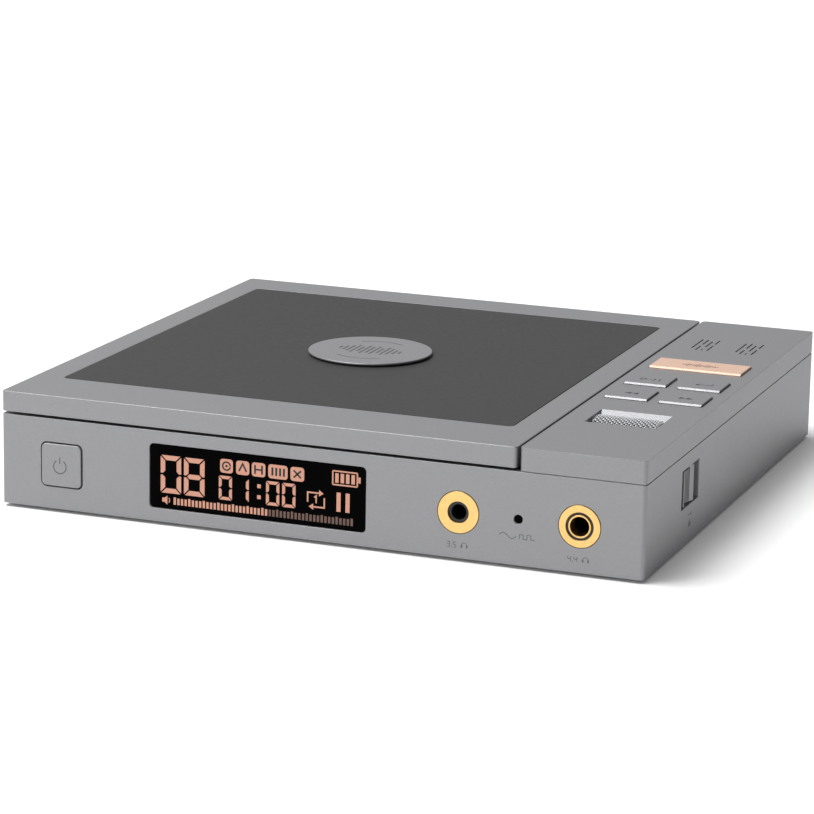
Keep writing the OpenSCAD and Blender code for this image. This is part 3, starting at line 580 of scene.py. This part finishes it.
def front_marks():
    surface = on_front(face_mm("main_case", 1, 0))
    shapes = []
    for ring, number in (("jack_ring_35", "3.5"), ("jack_ring_44", "4.4")):
        middle = centre_mm(ring, 0)
        low = face_mm(ring, 2, 0)
        shapes += number_sign(number, middle - 2.6, low - 3.35)
        shapes += headphone_sign(middle + 1.6, low - 2.75)
    # a sine wave turning into steps, under the status light
    light_x = centre_mm("light_pipe", 0)
    wave_z = centre_mm("light_pipe", 2) - 2.6
    sine = [(light_x - 4.4 + 0.2 * i, wave_z + 0.6 * math.sin(TAU * i / 20)) for i in range(21)]
    steps = [(0.4, -0.5), (0.4, 0.5), (1.3, 0.5), (1.3, -0.5), (2.2, -0.5), (2.2, 0.5), (3.1, 0.5),
             (3.1, -0.5), (4.0, -0.5)]
    shapes.append(stroke(sine, 0.17))
    half = 0.08
    for (ax, az), (bx, bz) in zip(steps, steps[1:]):
        shapes.append(rect(light_x + min(ax, bx) - half, wave_z + min(az, bz) - half,
                           light_x + max(ax, bx) + half, wave_z + max(az, bz) + half))
    inlay("front_marks", "case", "pale_ink", shapes, surface, rise=MARK_RISE)


def power_mark():
    surface = on_front(face_mm("power_button", 1, 0))
    x = centre_mm("power_button", 0) - 0.3
    z = centre_mm("power_button", 2) - 0.3
    shapes = [arc_band(x, z, 1.52, 1.72, 125, 415, 30), rect(x - 0.1, z + 0.7, x + 0.1, z + 2.3)]
    inlay("power_mark", "power_button", "ink", shapes, surface, rise=MARK_RISE)


def key_marks():
    def mark(node, material, outlines):
        surface = on_top(face_mm(node, 2, 1))
        shapes = moved(outlines, centre_mm(node, 0), centre_mm(node, 1))
        inlay("mark_" + node, node, material, shapes, surface, rise=MARK_RISE)

    mark("key_play", "ink", loop_band([(-2.4, -0.95), (-0.8, 0.0), (-2.4, 0.95)], 0.28)
         + [rect(0.75, -0.95, 1.1, 0.95), rect(2.0, -0.95, 2.35, 0.95), rect(-0.25, -0.16, 0.25, 0.16)])
    mark("key_return", "ink", [stroke([(2.0, 1.0), (2.0, -0.3), (-1.9, -0.3)], 0.32),
                               stroke([(-1.1, -1.1), (-1.95, -0.3), (-1.1, 0.5)], 0.32)])
    back = [[(-1.8, 0.0), (-0.15, -0.95), (-0.15, 0.95)], [(0.0, 0.0), (1.65, -0.95), (1.65, 0.95)]]
    mark("key_back", "ink", back)
    mark("key_next", "ink", [[(-x, y) for x, y in outline][::-1] for outline in back])
    # a row of level bars on the wide key
    heights = (0.6, 1.1, 1.8, 1.2, 0.7, 1.5, 2.3, 1.6, 0.9, 1.3, 2.0, 1.4, 0.8, 1.1, 0.6)
    pitch, half = 0.62, 0.17
    bars = [rect(pitch * (i - 7) - half, -h * 0.7, pitch * (i - 7) + half, h * 0.7)
            for i, h in enumerate(heights)]
    mark("key_wide", "key_ink", bars)


def hold_marks():
    """An arrow and a padlock under the hold switch."""
    surface = on_right(face_mm("main_case", 0, 1))
    y = centre_mm("hold_slider", 1) + 1.2
    z = face_mm("hold_slider", 2, 0)
    shapes = [stroke([(y - 1.3, z - 2.7), (y + 1.3, z - 2.7)], 0.2),
              [(y + 0.7, z - 3.2), (y + 1.5, z - 2.7), (y + 0.7, z - 2.2)],
              round_rect(y - 0.8, z - 5.6, y + 0.8, z - 4.4, 0.15, 2),
              arc_band(y, z - 4.45, 0.38, 0.56, 0, 180, 12)]
    inlay("hold_marks", "case", "pale_ink", shapes, surface, rise=MARK_RISE)


def medallion_pattern():
    """A plain engraved sign: level bars between two short arcs."""
    surface = on_top(face_mm("medallion", 2, 1))
    x0, y0 = centre_mm("medallion", 0), centre_mm("medallion", 1)
    heights = (1.6, 2.8, 4.2, 5.4, 3.6, 5.8, 4.6, 5.8, 3.6, 5.4, 4.2, 2.8, 1.6)
    pitch, half = 1.3, 0.3
    shapes = [rect(x0 + pitch * (i - 6) - half, y0 - 0.75 * h,
                   x0 + pitch * (i - 6) + half, y0 + 0.75 * h) for i, h in enumerate(heights)]
    for side in (0, 180):
        shapes.append(arc_band(x0, y0, 9.6, 9.95, side + 55, side + 125, 20))
    inlay("medallion_sign", "lid", "engraving", shapes, surface, rise=MARK_RISE)


def disc_bay_details():
    """The rubber ring that the disc lies on, and two low ribs round the floor of the bay."""
    x0, y0 = centre_mm("disc_hub", 0), centre_mm("disc_hub", 1)
    seat_z = face_mm("disc_hub", 2, 1) - 2.8
    ring = [arc_band(x0, y0, 12.2, 14.1, start, start + 180, 40) for start in (0, 180)]
    inlay("disc_rest_ring", "spindle", "rubber", ring, on_top(seat_z), rise=0.12)
    bay_floor_z = face_mm("disc_deck", 2, 1) - 4.3
    half, slot_half = 0.4, 8
    ribs = []
    for radius in (30.0, 46.0):
        # the ribs stop short of the slot that the pickup runs in
        gap = math.degrees(math.asin(slot_half / radius))
        for start, end in ((90 + gap, 270), (270, 450 - gap)):
            ribs.append(arc_band(x0, y0, radius - half, radius + half, start, end, 60))
    inlay("bay_ribs", "case", "bay_plastic", ribs, on_top(bay_floor_z), rise=0.3)


def hold_ribs():
    """Four finger ribs across the V of the hold switch."""
    middle = centre_mm("hold_slider", 1)
    low, high = face_mm("hold_slider", 2, 0) + 0.5, face_mm("hold_slider", 2, 1) - 0.5
    half = 0.14
    ribs = [rect(middle + at - half, low, middle + at + half, high) for at in (-1.5, -0.5, 0.5, 1.5)]
    inlay("hold_ribs", "hold_slider", "case_metal", ribs,
          on_right(face_mm("hold_slider", 0, 1)), rise=-0.3, sink=1.25)


front_marks()
hold_ribs()
disc_bay_details()
power_mark()
key_marks()
hold_marks()
medallion_pattern()


# ---- camera, light and floor ----

def set_camera():
    """The camera of the reference view: degrees, metres, and the lens in millimetres."""
    azimuth, elevation, roll = (math.radians(a) for a in (20.63, 13.63, 1.066))
    place = (0.27964, -0.75614, 0.21136)
    data = bpy.data.cameras.new("camera")
    data.lens = 148.55
    data.sensor_width = 36
    data.clip_end = 20
    camera = bpy.data.objects.new("camera", data)
    turn = (Matrix.Rotation(azimuth, 4, "Z") @ Matrix.Rotation(math.pi / 2 - elevation, 4, "X")
            @ Matrix.Rotation(roll, 4, "Z"))
    camera.matrix_world = Matrix.Translation(place) @ turn
    bpy.context.collection.objects.link(camera)
    bpy.context.scene.camera = camera


def add_softbox(name, place, target, size, watts):
    data = bpy.data.lights.new(name, "AREA")
    data.shape = "RECTANGLE"
    data.size, data.size_y = size
    data.energy = watts
    light = bpy.data.objects.new(name, data)
    direction = Vector(target) - Vector(place)
    light.location = place
    light.rotation_euler = direction.to_track_quat("-Z", "Y").to_euler()
    bpy.context.collection.objects.link(light)


def set_light():
    world = bpy.data.worlds.new("studio")
    world.use_nodes = True
    nodes, links = world.node_tree.nodes, world.node_tree.links
    background = nodes["Background"]
    background.inputs["Strength"].default_value = 1.0
    # the room is bright at the left and darker at the right
    parts = nodes.new("ShaderNodeSeparateXYZ")
    links.new(nodes.new("ShaderNodeTexCoord").outputs["Generated"], parts.inputs["Vector"])
    fall = nodes.new("ShaderNodeMapRange")
    fall.inputs["From Min"].default_value = -0.4
    fall.inputs["From Max"].default_value = 0.9
    fall.inputs["To Min"].default_value = 0.78
    fall.inputs["To Max"].default_value = 0.05
    links.new(parts.outputs["X"], fall.inputs["Value"])
    links.new(fall.outputs["Result"], background.inputs["Color"])
    bpy.context.scene.world = world
    bpy.context.scene.view_settings.view_transform = "Standard"
    middle = (0, 0, 0.02)
    add_softbox("top_light", (-0.42, -0.25, 1.10), middle, (0.72, 0.72), 14)
    add_softbox("front_light", (-0.1, -1.3, 0.35), middle, (1.0, 0.5), 1.5)


def set_floor():
    size = 3.0  # metres from the middle to each edge
    bm = bmesh.new()
    bm.faces.new([bm.verts.new((x, y, 0)) for x, y in rect(-size, -size, size, size)])
    mesh = bpy.data.meshes.new("floor")
    bm.to_mesh(mesh)
    bm.free()
    s = Shader("floor", 0.8, Specular_IOR_Level=0.2)
    s.speckle((0.97, 0.97, 0.97), 0.01, 40)
    # the floor far from the player glows a little, so that it stays white where the lights don't reach
    far = s.nodes.new("ShaderNodeVectorMath")
    far.operation = "LENGTH"
    s.links.new(s.coord, far.inputs[0])
    glow = s.nodes.new("ShaderNodeMapRange")
    glow.inputs["From Min"].default_value = 0.4
    glow.inputs["From Max"].default_value = 1.5
    glow.inputs["To Min"].default_value = 0.04
    glow.inputs["To Max"].default_value = 0.75
    s.links.new(far.outputs["Value"], glow.inputs["Value"])
    s.links.new(glow.outputs["Result"], s.bsdf.inputs["Emission Strength"])
    s.bsdf.inputs["Emission Color"].default_value = (1, 1, 1, 1)
    mesh.materials.append(s.mat)
    floor = bpy.data.objects.new("floor", mesh)
    bpy.context.collection.objects.link(floor)


set_camera()
set_light()
set_floor()
